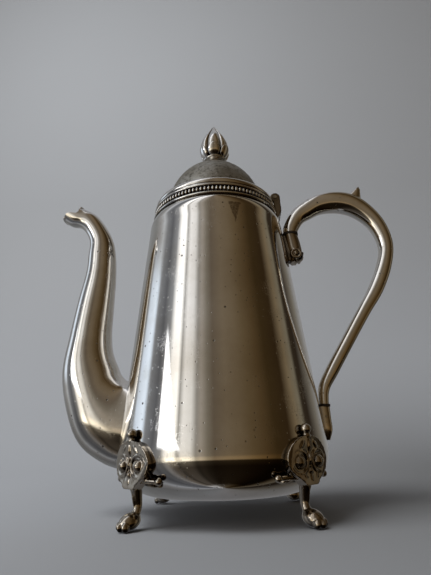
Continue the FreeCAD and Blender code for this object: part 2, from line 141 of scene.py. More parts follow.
def open_new(adder, **how):
    """Add a primitive as a new object and open it in edit mode, all selected."""
    if bpy.context.mode != "OBJECT":
        bpy.ops.object.mode_set(mode="OBJECT")
    bpy.ops.object.select_all(action="DESELECT")
    adder(**how)
    bpy.ops.object.transform_apply(location=True, rotation=True, scale=True)
    bpy.ops.object.mode_set(mode="EDIT")
    bpy.ops.mesh.select_all(action="SELECT")
    return bpy.context.object


def close(piece, name, angle=40):
    """Leave edit mode, name the piece and shade it."""
    bpy.ops.object.mode_set(mode="OBJECT")
    piece.name = name
    piece.data.name = name
    bpy.ops.object.shade_smooth_by_angle(angle=math.radians(angle))
    return piece


def pick_only(*pieces):
    bpy.ops.object.select_all(action="DESELECT")
    for piece in pieces:
        piece.select_set(True)
    bpy.context.view_layer.objects.active = pieces[0]


def turned(name, outline, sides=128, angle=40, shift=0.0, loop=True):
    """Spin an outline of (radius, height) round the pot's axis, as on a lathe."""
    radius, height = outline[0]
    start = place(radius, 0, height)
    piece = open_new(bpy.ops.mesh.primitive_plane_add, size=0.001, location=start)
    bpy.ops.mesh.merge(type="CENTER")
    steps = list(outline[1:])
    if loop:
        steps.append(outline[0])
    for next_radius, next_height in steps:
        move = place(next_radius - radius, 0, next_height - height)
        bpy.ops.mesh.extrude_vertices_move(TRANSFORM_OT_translate={"value": move})
        radius, height = next_radius, next_height
    bpy.ops.mesh.select_all(action="SELECT")
    bpy.ops.mesh.spin(steps=sides, angle=2 * math.pi, center=(0, 0, 0), axis=(0, 0, 1))
    bpy.ops.mesh.select_all(action="SELECT")
    bpy.ops.mesh.remove_doubles(threshold=0.000002)
    bpy.ops.mesh.normals_make_consistent(inside=False)
    if shift:
        bpy.ops.transform.translate(value=place(shift, 0, 0))
    return close(piece, name, angle)


def add_ring(middle, along, half_along, half_deep, sides, first):
    """Add one oval ring; along is a unit direction in the XZ plane."""
    how = {
        "vertices": sides,
        "radius": half_along * MM,
        "location": middle * MM,
        "rotation": (0, -math.atan2(along.z, along.x), 0),
        "fill_type": "NOTHING",
    }
    piece = None
    if first:
        piece = open_new(bpy.ops.mesh.primitive_circle_add, **how)
    else:
        bpy.ops.mesh.select_all(action="DESELECT")
        bpy.ops.mesh.primitive_circle_add(**how)
    squeeze = half_deep / half_along
    bpy.ops.transform.resize(value=(1, squeeze, 1), center_override=middle * MM)
    return piece


def pick_ring(piece, index, sides):
    """Select one ring of a tube by the order in which the rings were added."""
    mesh = bmesh.from_edit_mesh(piece.data)
    mesh.verts.ensure_lookup_table()
    for vert in mesh.verts:
        vert.select_set(False)
    ring = mesh.verts[index * sides:(index + 1) * sides]
    for vert in ring:
        vert.select_set(True)
    mesh.select_flush(True)
    bmesh.update_edit_mesh(piece.data)


def tube(name, rings, sides=40, caps=(True, True), angle=50):
    """Bridge ovals of (middle, along, half_along, half_deep) into a tube."""
    piece = None
    for index, (middle, along, half_along, half_deep) in enumerate(rings):
        made = add_ring(middle, along, half_along, half_deep, sides, index == 0)
        piece = made or piece
    bpy.ops.mesh.select_all(action="SELECT")
    bpy.ops.mesh.bridge_edge_loops(type="SINGLE")
    for index, wanted in ((0, caps[0]), (len(rings) - 1, caps[1])):
        if wanted:
            pick_ring(piece, index, sides)
            bpy.ops.mesh.edge_face_add()
            bpy.ops.mesh.poke()
    bpy.ops.mesh.select_all(action="SELECT")
    bpy.ops.mesh.normals_make_consistent(inside=False)
    return close(piece, name, angle)


def smoothed(rows, steps):
    """Rows of numbers with a smooth curve through each column."""
    out = []
    last = len(rows) - 1
    for k in range(last):
        before = rows[max(k - 1, 0)]
        here = rows[k]
        after = rows[k + 1]
        beyond = rows[min(k + 2, last)]
        for s in range(steps):
            t = s / steps
            row = []
            for p0, p1, p2, p3 in zip(before, here, after, beyond):
                bend = (2 * p0 - 5 * p1 + 4 * p2 - p3) * t * t + (3 * p1 - p0 - 3 * p2 + p3) * t ** 3
                row.append(p1 + 0.5 * ((p2 - p0) * t + bend))
            out.append(row)
    out.append(list(rows[last]))
    return out


def level_rings(rows, steps):
    """Level ovals from rows of (x, z, half width along X, half width along Y)."""
    rings = []
    for x, z, half_x, half_y in smoothed(rows, steps):
        rings.append((Vector((x, 0, z)), Vector((1, 0, 0)), half_x, half_y))
    return rings


def apply_modifier(piece, kind, **settings):
    pick_only(piece)
    modifier = piece.modifiers.new(kind.lower(), kind)
    for key, value in settings.items():
        setattr(modifier, key, value)
    bpy.ops.object.modifier_apply(modifier=modifier.name)


def carve(piece, cutter, keep_cutter=False):
    """Cut one closed piece out of another."""
    apply_modifier(piece, "BOOLEAN", operation="DIFFERENCE", solver="EXACT", object=cutter)
    if not keep_cutter:
        bpy.data.objects.remove(cutter)


def joined(name, pieces, angle=40):
    pick_only(*pieces)
    bpy.ops.object.join()
    piece = bpy.context.object
    piece.name = name
    piece.data.name = name
    bpy.ops.object.shade_smooth_by_angle(angle=math.radians(angle))
    return piece


def blob(middle, size, turn=(0, 0, 0), segments=24, rings=14):
    """A ball at a place, drawn out to three half sizes and turned."""
    piece = open_new(
        bpy.ops.mesh.primitive_uv_sphere_add,
        segments=segments, ring_count=rings, radius=MM, location=(0, 0, 0),
    )
    bpy.ops.transform.resize(value=size, center_override=(0, 0, 0))
    bpy.ops.object.mode_set(mode="OBJECT")
    piece.rotation_euler = turn
    piece.location = place(*middle)
    bpy.ops.object.transform_apply(location=True, rotation=True, scale=True)
    return piece


def ring_roll(middle, major, minor, turn=(0, 0, 0)):
    """A round rod bent into a ring."""
    piece = open_new(
        bpy.ops.mesh.primitive_torus_add,
        major_radius=major * MM, minor_radius=minor * MM, major_segments=40, minor_segments=12,
    )
    bpy.ops.object.mode_set(mode="OBJECT")
    piece.rotation_euler = turn
    piece.location = place(*middle)
    bpy.ops.object.transform_apply(location=True, rotation=True, scale=True)
    return piece


def peg(start, end, radius, end_radius=None, sides=24):
    """A round rod between two points, tapered if its radii differ."""
    reach = end - start
    piece = open_new(
        bpy.ops.mesh.primitive_cone_add,
        vertices=sides, radius1=radius * MM, radius2=(end_radius or radius) * MM,
        depth=reach.length * MM, location=(0, 0, 0),
    )
    bpy.ops.object.mode_set(mode="OBJECT")
    piece.rotation_euler = reach.to_track_quat("Z", "Y").to_euler()
    piece.location = (start + end) * 0.5 * MM
    bpy.ops.object.transform_apply(location=True, rotation=True, scale=True)
    return piece


def plate_along_y(name, corners, half_width, bevel):
    """A plate with an outline of (x, z) corners, as wide as two half widths, edges rounded."""
    x, z = corners[0]
    piece = open_new(bpy.ops.mesh.primitive_plane_add, size=0.001, location=place(x, -half_width, z))
    bpy.ops.mesh.merge(type="CENTER")
    for next_x, next_z in corners[1:]:
        move = place(next_x - x, 0, next_z - z)
        bpy.ops.mesh.extrude_vertices_move(TRANSFORM_OT_translate={"value": move})
        x, z = next_x, next_z
    bpy.ops.mesh.select_all(action="SELECT")
    bpy.ops.mesh.edge_face_add()
    bpy.ops.mesh.extrude_region_move(TRANSFORM_OT_translate={"value": place(0, 2 * half_width, 0)})
    bpy.ops.mesh.select_all(action="SELECT")
    bpy.ops.mesh.normals_make_consistent(inside=False)
    close(piece, name)
    apply_modifier(piece, "BEVEL", width=bevel * MM, segments=3, limit_method="ANGLE")
    return piece


# ------------------------------------------------------------------- materials

class Finish:
    """A material's node tree, built up one node at a time."""

    def __init__(self, name):
        self.material = bpy.data.materials.new(name)
        self.material.use_nodes = True
        self.tree = self.material.node_tree
        self.shader = self.tree.nodes["Principled BSDF"]
        self.object_place = self.node("ShaderNodeTexCoord").outputs["Object"]

    def node(self, kind, settings=None, **inputs):
        made = self.tree.nodes.new(kind)
        for key, value in (settings or {}).items():
            setattr(made, key, value)
        for key, value in inputs.items():
            self.feed(made, key.replace("_", " "), value)
        return made

    def feed(self, node, socket, value):
        target = node.inputs[int(socket)] if socket.isdigit() else node.inputs[socket]
        if isinstance(value, bpy.types.NodeSocket):
            self.tree.links.new(value, target)
        else:
            target.default_value = value

    def stretched(self, scale):
        settings = {"vector_type": "POINT"}
        return self.node("ShaderNodeMapping", settings, Vector=self.object_place, Scale=scale).outputs[0]

    def noise(self, scale, detail=3.0, roughness=0.5, stretch=None):
        vector = self.stretched(stretch) if stretch else self.object_place
        made = self.node(
            "ShaderNodeTexNoise", None,
            Vector=vector, Scale=scale, Detail=detail, Roughness=roughness,
        )
        return made.outputs["Fac"]

    def spread(self, value, low, high, out_low=0.0, out_high=1.0):
        """Map a range of a value to another, with soft ends."""
        settings = {"interpolation_type": "SMOOTHSTEP"}
        made = self.node(
            "ShaderNodeMapRange", settings,
            Value=value, From_Min=low, From_Max=high, To_Min=out_low, To_Max=out_high,
        )
        return made.outputs[0]

    def maths(self, operation, first, second=0.0):
        made = self.node("ShaderNodeMath", {"operation": operation})
        self.feed(made, "0", first)
        self.feed(made, "1", second)
        return made.outputs[0]

    def blend(self, share, first, second):
        made = self.node("ShaderNodeMix", {"data_type": "RGBA"})
        self.feed(made, "0", share)
        self.feed(made, "6", first)
        self.feed(made, "7", second)
        return made.outputs[2]

    def bump(self, height, strength, distance, under=None):
        made = self.node("ShaderNodeBump", None, Height=height, Strength=strength, Distance=distance)
        if under is not None:
            self.feed(made, "Normal", under)
        return made.outputs[0]


def pits(finish, scale, size):
    """A mask of small round pits, not all of them there."""
    cells = finish.node("ShaderNodeTexVoronoi", {"feature": "F1"}, Vector=finish.object_place, Scale=scale)
    dot = finish.spread(cells.outputs["Distance"], size, size * 0.45)
    some = finish.node("ShaderNodeSeparateColor", None, Color=cells.outputs["Color"]).outputs[0]
    return finish.maths("MULTIPLY", dot, finish.spread(some, 0.45, 0.6))


def scratches(finish, scale, stretch, fineness):
    """A mask of thin straight scratches lying one way."""
    streaks = finish.noise(scale, 2.0, 0.5, stretch)
    thin = finish.maths("ABSOLUTE", finish.maths("SUBTRACT", streaks, 0.5))
    return finish.spread(thin, fineness, 0.0)


def painted_brown_reflection(finish):
    """A painted reflection of the brown room: a brown three-cornered patch on the front below the band, wide
    above and narrow below.
    """
    x, y, z = finish.node("ShaderNodeSeparateXYZ", None, Vector=finish.object_place).outputs
    ragged = finish.maths("MULTIPLY", finish.noise(500.0), 0.002)
    sideways = finish.maths("ABSOLUTE", finish.maths("SUBTRACT", x, REFLECTION_PATCH_X))
    width = finish.maths("MULTIPLY", finish.maths("SUBTRACT", z, REFLECTION_PATCH_LOW), 0.25)
    room = finish.maths("SUBTRACT", finish.maths("ADD", width, ragged), sideways)
    below = finish.maths("SUBTRACT", REFLECTION_PATCH_TOP, finish.maths("ADD", z, ragged))
    mask = finish.maths("MULTIPLY", finish.spread(room, 0.0007, 0.0015), finish.spread(below, 0.0, 0.0006))
    mottle = finish.spread(finish.noise(900.0, 4.0, 0.7), 0.3, 0.6, 0.35, 1.0)
    mask = finish.maths("MULTIPLY", mask, mottle)
    return finish.maths("MULTIPLY", mask, finish.spread(y, 0.0, -0.01))


def silver(name, bright, film, film_share, gloss, dents, pit_size, crevice_shade=0.0, brown_reflection_painted=False):
    """Worn silver plate: a grey-brown film in clouds, pits, fine scratches and dents, with painted shade in
    crevices and, where asked, a painted brown reflection.
    """
    finish = Finish(name)
    clouds = finish.noise(28.0, 5.0, 0.6)
    share = finish.spread(clouds, 0.35, 0.75, 0.0, film_share)
    colour = finish.blend(share, bright, film)
    big = pits(finish, 150.0, pit_size * 0.85)
    small = pits(finish, 400.0, pit_size * 1.25)
    spots = finish.maths("MAXIMUM", big, finish.maths("MULTIPLY", small, 0.85))
    colour = finish.blend(finish.maths("MULTIPLY", spots, 0.8), colour, (0.05, 0.04, 0.03, 1))
    # Painted shade: ambient occlusion darkens the colour to near-black brown in crevices and hollows.
    if crevice_shade:
        crevice_occlusion = finish.node("ShaderNodeAmbientOcclusion", {"samples": 8}, Distance=0.0035).outputs["AO"]
        painted_crevice_shade = finish.spread(crevice_occlusion, 0.92, 0.45, 0.0, crevice_shade)
        colour = finish.blend(painted_crevice_shade, colour, (0.022, 0.015, 0.009, 1))
    # Painted reflection: a mottled brown patch on the front of the body stands in for the brown room it
    # reflects.
    if brown_reflection_painted:
        share = finish.maths("MULTIPLY", painted_brown_reflection(finish), 0.75)
        colour = finish.blend(share, colour, (0.13, 0.085, 0.04, 1))
    upright = scratches(finish, 800.0, (1, 1, 0.1), 0.01)
    across = scratches(finish, 600.0, (0.16, 0.5, 1), 0.008)
    marks = finish.maths("MAXIMUM", upright, across)
    patchy = finish.spread(finish.noise(90.0, 2.0), 0.5, 0.7)
    marks = finish.maths("MULTIPLY", marks, patchy)
    rough = finish.spread(finish.noise(45.0, 6.0, 0.65), 0.3, 0.75, gloss, gloss + ROUGH_MORE)
    rough = finish.maths("ADD", rough, finish.maths("MULTIPLY", marks, 0.09))
    rough = finish.maths("ADD", rough, finish.maths("MULTIPLY", spots, 0.3))
    waves = finish.bump(finish.noise(17.0, 1.0, 0.4), dents, 0.004)
    grooves = finish.maths("MAXIMUM", finish.maths("MULTIPLY", marks, 0.12), spots)
    relief = finish.maths("MULTIPLY", grooves, -1.0)
    finish.feed(finish.shader, "Normal", finish.bump(relief, 0.3, 0.0002, waves))
    finish.feed(finish.shader, "Base Color", colour)
    finish.feed(finish.shader, "Roughness", rough)
    finish.shader.inputs["Metallic"].default_value = 1.0
    return finish.material


def dull_plate(name):
    """Plate gone matt on the dome: fine grey-brown specks, hardly any reflection."""
    finish = Finish(name)
    grain = finish.noise(420.0, 6.0, 0.7)
    clouds = finish.noise(70.0, 4.0, 0.6)
    colour = finish.blend(finish.spread(clouds, 0.3, 0.7), (0.43, 0.42, 0.385, 1), (0.27, 0.25, 0.205, 1))
    colour = finish.blend(finish.spread(grain, 0.48, 0.66, 0.0, 0.85), colour, (0.13, 0.115, 0.09, 1))
    bright = finish.spread(finish.noise(520.0, 3.0, 0.6), 0.6, 0.75, 0.0, 0.5)
    colour = finish.blend(bright, colour, (0.66, 0.65, 0.62, 1))
    spots = pits(finish, 260.0, 0.24)
    colour = finish.blend(finish.maths("MULTIPLY", spots, 0.7), colour, (0.06, 0.05, 0.04, 1))
    rough = finish.spread(clouds, 0.3, 0.7, 0.46, 0.6)
    finish.feed(finish.shader, "Base Color", colour)
    finish.feed(finish.shader, "Roughness", rough)
    finish.feed(finish.shader, "Normal", finish.bump(grain, 0.35, 0.0002))
    finish.shader.inputs["Metallic"].default_value = 0.9
    return finish.material


def dark_fibre(name):
    """Pressed fibre of the heat-stopping discs."""
    finish = Finish(name)
    grain = finish.noise(900.0, 3.0, 0.6, (1, 1, 3))
    colour = finish.blend(finish.spread(grain, 0.35, 0.65), (0.012, 0.009, 0.007, 1), (0.05, 0.035, 0.024, 1))
    finish.feed(finish.shader, "Base Color", colour)
    finish.feed(finish.shader, "Roughness", finish.spread(grain, 0.3, 0.7, 0.45, 0.7))
    finish.feed(finish.shader, "Normal", finish.bump(grain, 0.3, 0.0001))
    return finish.material


def turned_metal(name):
    """Nickel silver of pins, stud and nut, with fine turning lines."""
    finish = Finish(name)
    lines = finish.noise(1500.0, 2.0, 0.5, (0.2, 0.2, 1))
    stains = finish.noise(130.0, 4.0)
    colour = finish.blend(finish.spread(stains, 0.4, 0.7), (0.5, 0.46, 0.38, 1), (0.2, 0.17, 0.13, 1))
    finish.feed(finish.shader, "Base Color", colour)
    finish.feed(finish.shader, "Roughness", finish.spread(lines, 0.3, 0.7, 0.25, 0.45))
    finish.feed(finish.shader, "Normal", finish.bump(lines, 0.2, 0.0001))
    finish.shader.inputs["Metallic"].default_value = 1.0
    return finish.material


BRIGHT = (0.84, 0.815, 0.77, 1)
FILM = (0.55, 0.49, 0.40, 1)
ROUGH_MORE = 0.06
# Where the painted brown reflection sits on the body, in metres.
REFLECTION_PATCH_X = 0.0130
REFLECTION_PATCH_LOW = 0.1470
REFLECTION_PATCH_TOP = 0.1618

# The body silver carries the painted brown reflection below the band.
body_silver = silver(
    "body_silver", BRIGHT, FILM,
    film_share=0.55, gloss=0.025, dents=0.04, pit_size=0.13, brown_reflection_painted=True,
)
inside_silver = silver(
    "inside_silver", (0.55, 0.50, 0.43, 1), (0.25, 0.19, 0.13, 1),
    film_share=0.9, gloss=0.3, dents=0.05, pit_size=0.16,
)
# Trim, cast and hinge silver get painted shade darkening their crevices.
trim_silver = silver(
    "trim_silver", BRIGHT, FILM,
    film_share=0.6, gloss=0.11, dents=0.02, pit_size=0.08, crevice_shade=0.95,
)
cast_silver = silver(
    "cast_silver", (0.58, 0.53, 0.45, 1), (0.22, 0.165, 0.11, 1),
    film_share=0.85, gloss=0.1, dents=0.03, pit_size=0.12, crevice_shade=1.0,
)
hinge_silver = silver(
    "hinge_silver", (0.32, 0.28, 0.22, 1), (0.11, 0.085, 0.055, 1),
    film_share=0.9, gloss=0.2, dents=0.05, pit_size=0.2, crevice_shade=1.0,
)
grip_silver = silver(
    "grip_silver", BRIGHT, FILM,
    film_share=0.6, gloss=0.08, dents=0.025, pit_size=0.14,
)
dome_plate = dull_plate("dome_plate")
fibre = dark_fibre("fibre")
pin_metal = turned_metal("pin_metal")


def dress(piece, material, body, slot, *nodes):
    """Give a piece its material and body, and hide the CAD nodes it stands for; slot is not used."""
    piece.data.materials.clear()
    piece.data.materials.append(material)
    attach(piece, body)
    if nodes:
        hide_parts(*nodes)


# --------------------------------------------------------------------- the pot

HEEL_MID = (50.35, 17.35)
SHOULDER_MID = (40.85, 163.4)
LEDGE_R = 38.7
outside = [(BASE_R, BASE_Z)]
outside += arc((BASE_R, BASE_Z), HEEL_MID, (BELLY_R, BELLY_Z), 18)
outside += line((BELLY_R, BELLY_Z), (SHOULDER_R, SHOULDER_Z), 26)
outside += arc((SHOULDER_R, SHOULDER_Z), SHOULDER_MID, (LEDGE_R, BAND_Z), 9)


def pot_blank(inset):
    """The pot as a solid, its wall drawn in by inset, to cut other pieces back to."""
    outline = [(0, BASE_Z + inset)]
    outline += [(max(r - inset, 0.1), z + inset * (z < 15)) for r, z in outside]
    outline.append((0, BAND_Z))
    return turned("pot_blank", outline, 256, loop=False)


def make_pot_wall():
    outline = [(BASE_R - 3, BASE_Z)] + outside
    outline += [(NECK_R, BAND_Z), (NECK_R, RIM_Z), (NECK_R - WALL, RIM_Z), (NECK_R - WALL, BAND_Z - 1)]
    inner_top = (SHOULDER_R - WALL, SHOULDER_Z)
    inner_belly = (BELLY_R - WALL, BELLY_Z)
    outline.append(inner_top)
    outline += line(inner_top, inner_belly, 20)
    inner_heel = (HEEL_MID[0] - 0.72 * WALL, HEEL_MID[1] + 0.70 * WALL)
    outline += arc(inner_belly, inner_heel, (BASE_R, BASE_Z + WALL), 12)
    outline.append((BASE_R - 3, BASE_Z + WALL))
    return turned("pot_wall", outline, 256, 30)


pot_wall = make_pot_wall()

STRAINER_ROWS = ((40.0, 6), (46.0, 7), (52.0, 6))
STRAINER_PITCH = 4.32
STRAINER_HOLE_R = 1.7
STRAINER_FROM_X = -60
STRAINER_TO_X = -40
punches = []
for row_z, across in STRAINER_ROWS:
    for k in range(across):
        y = (k - (across - 1) / 2) * STRAINER_PITCH
        start = Vector((STRAINER_FROM_X, y, row_z))
        end = Vector((STRAINER_TO_X, y, row_z))
        punches.append(peg(start, end, STRAINER_HOLE_R, sides=20))
carve(pot_wall, joined("punches", punches))
pick_only(pot_wall)
bpy.ops.object.shade_smooth_by_angle(angle=math.radians(30))
dress(pot_wall, body_silver, "pot", "silver_plate", "body_shell")
pot_wall.data.materials.append(inside_silver)
for face in pot_wall.data.polygons:
    if face.center.x * face.normal.x + face.center.y * face.normal.y < 0:
        face.material_index = 1

BLANK_INSET = 0.6
blank = pot_blank(BLANK_INSET)

# The band under the rim: two plain mouldings with a row of beads between
BEAD_COUNT = 106
BEAD_Z = 170.9
band = turned("band", [
    (NECK_R + 0.02, BAND_Z), (NECK_R + 1.6, BAND_Z),
    *arc((NECK_R + 1.6, BAND_Z), (NECK_R + 2.4, BAND_Z + 0.75), (NECK_R + 1.6, BAND_Z + 1.5), 8),
    (NECK_R + 0.3, BAND_Z + 2.0), (NECK_R + 0.3, BAND_Z + 5.5),
    *arc((NECK_R + 0.9, BAND_Z + 5.6), (NECK_R + 1.75, BAND_Z + 6.35), (NECK_R + 0.9, BAND_Z + 7.1), 7),
    (NECK_R + 0.02, RIM_Z),
], 256, 40)
bead_r = NECK_R + 0.8
first_bead = blob((bead_r, 0, BEAD_Z), (1.15, 1.0, 1.55), segments=10, rings=6)
first_bead.name = "bead"
beads = [first_bead]
for k in range(1, BEAD_COUNT):
    bead = first_bead.copy()
    bead.data = first_bead.data.copy()
    bpy.context.scene.collection.objects.link(bead)
    bead.data.transform(Matrix.Rotation(2 * math.pi * k / BEAD_COUNT, 4, "Z"))
    beads.append(bead)
bead_row = joined("bead_row", beads, 60)
dress(band, trim_silver, "pot", "silver_plate", "rim_band")
dress(bead_row, trim_silver, "pot", "silver_plate", "rim_band")

# ------------------------------------------------------------------- the spout

SPOUT = [
    (-8.0, 68.0, -8.0, 21.0, 17.5),
    (1.8, 69.5, 8.5, 25.2, 17.3),
    (7.0, 73.5, 24.4, 36.2, 16.8),
    (9.5, 78.0, 35.2, 55.0, 15.6),
    (14.2, 87.0, 41.4, 75.5, 13.8),
    (16.8, 98.0, 41.4, 97.0, 12.0),
    (18.2, 114.0, 40.6, 118.5, 10.4),
    (19.8, 133.0, 39.0, 137.5, 9.2),
    (22.0, 147.5, 39.8, 150.0, 8.4),
    (25.4, 159.5, 40.6, 159.5, 7.5),
    (30.2, 169.5, 44.0, 167.2, 6.9),
    (36.8, 178.6, 48.6, 171.4, 6.7),
    (43.0, 182.6, 54.2, 172.8, 6.9),
    (47.4, 185.0, 59.6, 176.2, 7.3),
]
GRIP = [
    (0.8, 158.0, 10.0, 158.0, 4.6),
    (1.6, 162.6, 11.3, 160.8, 4.7),
    (6.2, 171.6, 14.4, 165.2, 5.0),
    (12.6, 177.9, 18.8, 167.6, 5.4),
    (23.2, 183.7, 25.8, 170.8, 6.0),
    (35.2, 185.8, 34.8, 171.4, 6.4),
    (47.2, 183.2, 43.0, 169.2, 6.3),
    (57.0, 175.2, 50.0, 164.2, 5.8),
    (64.9, 162.3, 55.2, 157.0, 5.2),
    (66.4, 147.0, 57.0, 145.8, 4.6),
    (61.2, 131.6, 53.4, 135.0, 4.1),
    (52.2, 116.4, 45.2, 120.8, 3.8),
    (41.2, 103.2, 35.6, 107.8, 3.6),
    (27.4, 85.6, 22.0, 90.0, 3.6),
    (14.8, 69.2, 9.2, 73.4, 3.6),
    (8.2, 60.6, 2.4, 62.8, 3.6),
    (6.0, 52.8, 0.6, 53.4, 3.4),
]


def wall_rings(rows, side, steps, grow=0.0):
    """Ovals measured out from the wall: (near gap, near z, far gap, far z, half depth)."""
    points = []
    for near_gap, near_z, far_gap, far_z, deep in rows:
        near_x = side * (girth(near_z) + near_gap)
        far_x = side * (girth(far_z) + far_gap)
        points.append((near_x, near_z, far_x, far_z, deep))
    rings = []
    for near_x, near_z, far_x, far_z, deep in smoothed(points, steps):
        reach = Vector((far_x - near_x, 0, far_z - near_z))
        middle = Vector((near_x, 0, near_z)) + reach * 0.5
        half = reach.length / 2
        rings.append((middle, reach.normalized(), half + grow, deep + grow))
    return rings


def make_spout():
    piece = tube("spout", wall_rings(SPOUT, -1, 6), 56, caps=(False, False))
    apply_modifier(piece, "SOLIDIFY", thickness=WALL * MM, offset=-1.0, use_even_offset=True)
    carve(piece, blank, keep_cutter=True)
    carve(piece, plate_along_y("beak_cut", [
        (-89.6, 192.0), (-112.0, 192.0), (-112.0, 179.4), (-99.5, 179.0), (-95.0, 179.4), (-91.0, 178.8),
        (-89.6, 180.2),
    ], 14.0, 0.3))
    rim = blob((-89.4, 0, 184.1), (1.7, 4.4, 1.5), segments=28)
    lip = blob((-99.3, 0, 176.9), (1.9, 5.4, 1.6), (0, math.radians(-35), 0), segments=28)
    return joined("spout", [piece, rim, lip], 50)


spout = make_spout()
dress(spout, grip_silver, "pot", "silver_plate", "spout_shell")

# ------------------------------------------------------------------ the handle

grip = tube("handle", wall_rings(GRIP, 1, 5), 40)
dress(grip, grip_silver, "pot", "silver_plate", "handle_grip")

horn_foot = Vector((88.3, 0, 181.5))
thumb = tube("thumb_leaf", level_rings([
    (horn_foot.x + 0.2, horn_foot.z - 2.5, 6.0, 3.2),
    (horn_foot.x + 1.2, horn_foot.z + 0.2, 5.0, 3.0),
    (horn_foot.x + 3.0, horn_foot.z + 2.8, 3.4, 2.7),
    (horn_foot.x + 4.4, horn_foot.z + 5.2, 2.1, 2.1),
    (horn_foot.x + 5.3, horn_foot.z + 7.2, 0.8, 0.8),
], 5), 28)
dress(thumb, trim_silver, "pot", "silver_plate", "thumb_rest")

SOCKET_X = 47.1
socket_parts = [tube("socket_tube", level_rings([
    (SOCKET_X, 156.6, 4.5, 4.5),
    (SOCKET_X + 0.9, 149.6, 5.0, 4.9),
    (SOCKET_X + 1.5, 144.0, 4.7, 5.0),
    (SOCKET_X + 1.0, 139.4, 3.3, 4.7),
    (SOCKET_X + 0.2, 137.6, 1.6, 3.6),
], 5), 36)]
socket_parts.append(tube("socket_back", level_rings([
    (43.0, 156.0, 3.0, 2.6),
    (44.4, 150.0, 4.2, 3.4),
    (45.4, 142.0, 4.4, 3.6),
    (45.6, 138.4, 3.0, 2.8),
], 4), 28))
for side in (-1, 1):
    socket_parts.append(ring_roll((49.0, side * 4.7, 142.4), 2.7, 0.8, (math.pi / 2, 0, 0)))
    socket_parts.append(blob((49.0, side * 4.7, 142.4), (1.3, 0.9, 1.3)))
for k in range(4):
    a = math.radians(100 - 33 * k)
    toe = (48.6 + 4.6 * math.sin(a), 0, 142.2 - 4.3 * math.cos(a))
    socket_parts.append(blob(toe, (1.0, 4.6 - 0.35 * k, 1.0)))
socket = joined("upper_socket_scroll", socket_parts)
apply_modifier(socket, "REMESH", mode="VOXEL", voxel_size=0.32 * MM)
apply_modifier(socket, "SMOOTH", factor=0.5, iterations=1)
carve(socket, blank, keep_cutter=True)
bpy.ops.object.shade_smooth_by_angle(angle=math.radians(60))
dress(socket, cast_silver, "pot", "silver_plate", "upper_socket")

tail = []
for z, out, deep in ((51.7, 6.2, 3.2), (45.0, 5.6, 3.0), (39.5, 5.0, 2.5), (34.4, 2.6, 1.3)):
    tail.append((girth(z) + (out - 4.0) / 2, z, (out + 4.0) / 2, deep))
lower_socket = tube("lower_socket_tail", level_rings(tail, 5), 28)
carve(lower_socket, blank, keep_cutter=True)
bpy.ops.object.shade_smooth_by_angle(angle=math.radians(45))
dress(lower_socket, trim_silver, "pot", "silver_plate", "lower_socket")

# -------------------------------------------------------------------- the feet

FOOT_CORNERS = {
    "foot_front_handle": -45.0,
    "foot_rear_handle": 45.0,
    "foot_rear_spout": 135.0,
    "foot_front_spout": -135.0,
}
SHIELD = [
    (0.0, 37.4), (6.0, 36.4), (11.2, 32.6), (13.3, 27.6), (11.4, 22.6), (6.4, 19.2), (3.6, 16.8),
]


def make_shield():
    """A shield-shaped plate with a raised rim, still flat; make_foot bends it to the belly."""
    half = smoothed(SHIELD, 4)
    outline = half + [(-t, z) for t, z in reversed(half[1:])]
    t, z = outline[0]
    piece = open_new(bpy.ops.mesh.primitive_plane_add, size=0.001, location=place(58.2, t, z))
    bpy.ops.mesh.merge(type="CENTER")
    for next_t, next_z in outline[1:]:
        move = place(0, next_t - t, next_z - z)
        bpy.ops.mesh.extrude_vertices_move(TRANSFORM_OT_translate={"value": move})
        t, z = next_t, next_z
    bpy.ops.mesh.select_all(action="SELECT")
    bpy.ops.mesh.edge_face_add()
    bpy.ops.mesh.extrude_region_move(TRANSFORM_OT_translate={"value": place(-6, 0, 0)})
    bpy.ops.mesh.select_all(action="SELECT")
    bpy.ops.mesh.normals_make_consistent(inside=False)
    pick_facing(piece, Vector((1, 0, 0)))
    bpy.ops.mesh.inset(thickness=1.5 * MM)
    bpy.ops.transform.translate(value=place(-2.0, 0, 0))
    bpy.ops.object.mode_set(mode="OBJECT")
    return piece


def pick_facing(piece, direction):
    """Select the faces that look one way."""
    mesh = bmesh.from_edit_mesh(piece.data)
    for face in mesh.faces:
        face.select_set(face.normal.dot(direction) > 0.9)
    mesh.select_flush(False)
    bmesh.update_edit_mesh(piece.data)


def bend_to_belly(piece):
    """Lay a flat piece round the belly, keeping its thickness."""
    for vertex in piece.data.vertices:
        out = vertex.co.x
        turn = vertex.co.y / (BELLY_R * MM)
        vertex.co.x = out * math.cos(turn)
        vertex.co.y = out * math.sin(turn)


